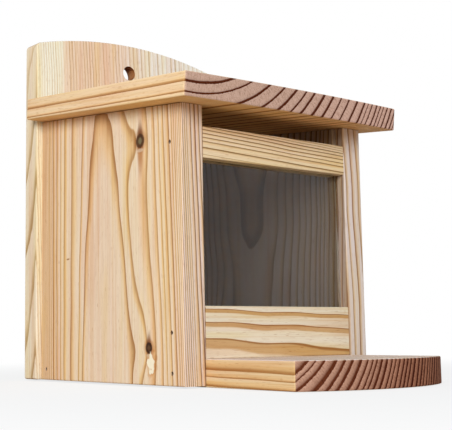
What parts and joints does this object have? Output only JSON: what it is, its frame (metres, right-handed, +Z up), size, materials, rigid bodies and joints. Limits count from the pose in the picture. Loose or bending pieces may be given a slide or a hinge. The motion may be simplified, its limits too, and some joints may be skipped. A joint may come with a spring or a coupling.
{
  "type": "squirrel feeder box",
  "caption": "Wall-hung timber nut hopper with a sloping hinged lid, a clear front pane and a tray that runs out in front for a squirrel to sit on.",
  "frame": {"origin": "under the middle of the whole feeder's outline, level with the underside of the floor board", "axes": "+X to the right as seen from the front, +Y from the front towards the wall, +Z up"},
  "size_m": [0.22, 0.33, 0.3095],
  "materials": {
    "back_larch": "planed, untreated, yellow cream with a salmon heart",
    "side_larch": "planed, untreated, cream with amber grain and two knots",
    "floor_larch": "planed, untreated, golden face and red-brown end grain",
    "lid_larch": "planed, untreated, golden face and red-brown end grain",
    "top_rail_larch": "planed, untreated, fine straight grain",
    "bottom_rail_larch": "planed, untreated, ivory with broad amber bands",
    "clear_acrylic": "clear, glossy",
    "hinge_steel": "bright zinc plate",
    "screw_steel": "bright zinc plate",
    "brad_steel": "dull, sunk below the wood"
  },
  "bodies": {
    "box": {"back_board": "back_larch", "left_side": "side_larch", "right_side": "side_larch", "floor_board": "floor_larch", "top_rail": "top_rail_larch", "bottom_rail": "bottom_rail_larch", "window_pane": "clear_acrylic", "left_hinge_back_leaf": "hinge_steel", "left_hinge_pin": "hinge_steel", "right_hinge_back_leaf": "hinge_steel", "right_hinge_pin": "hinge_steel", "left_hinge_back_leaf_screw_1": "screw_steel", "left_hinge_back_leaf_screw_2": "screw_steel", "right_hinge_back_leaf_screw_1": "screw_steel", "right_hinge_back_leaf_screw_2": "screw_steel", "back_screw_left_1": "screw_steel", "back_screw_left_2": "screw_steel", "back_screw_left_3": "screw_steel", "back_screw_right_1": "screw_steel", "back_screw_right_2": "screw_steel", "back_screw_right_3": "screw_steel", "brad_left_top_rail": "brad_steel", "brad_left_bottom_rail": "brad_steel", "brad_left_floor_front": "brad_steel", "brad_left_floor_back": "brad_steel", "brad_right_top_rail": "brad_steel", "brad_right_bottom_rail": "brad_steel", "brad_right_floor_front": "brad_steel", "brad_right_floor_back": "brad_steel"},
    "lid": {"lid": "lid_larch", "left_hinge_lid_leaf": "hinge_steel", "right_hinge_lid_leaf": "hinge_steel", "left_hinge_lid_leaf_screw_1": "screw_steel", "left_hinge_lid_leaf_screw_2": "screw_steel", "right_hinge_lid_leaf_screw_1": "screw_steel", "right_hinge_lid_leaf_screw_2": "screw_steel"}
  },
  "joints": [
    {"name": "lid_hinge", "type": "hinge", "parent": "box", "child": "lid", "pos_m": [0, 0.1422, 0.24593], "axis": [-1, 0, 0], "range_deg": [0, 100]}
  ]
}
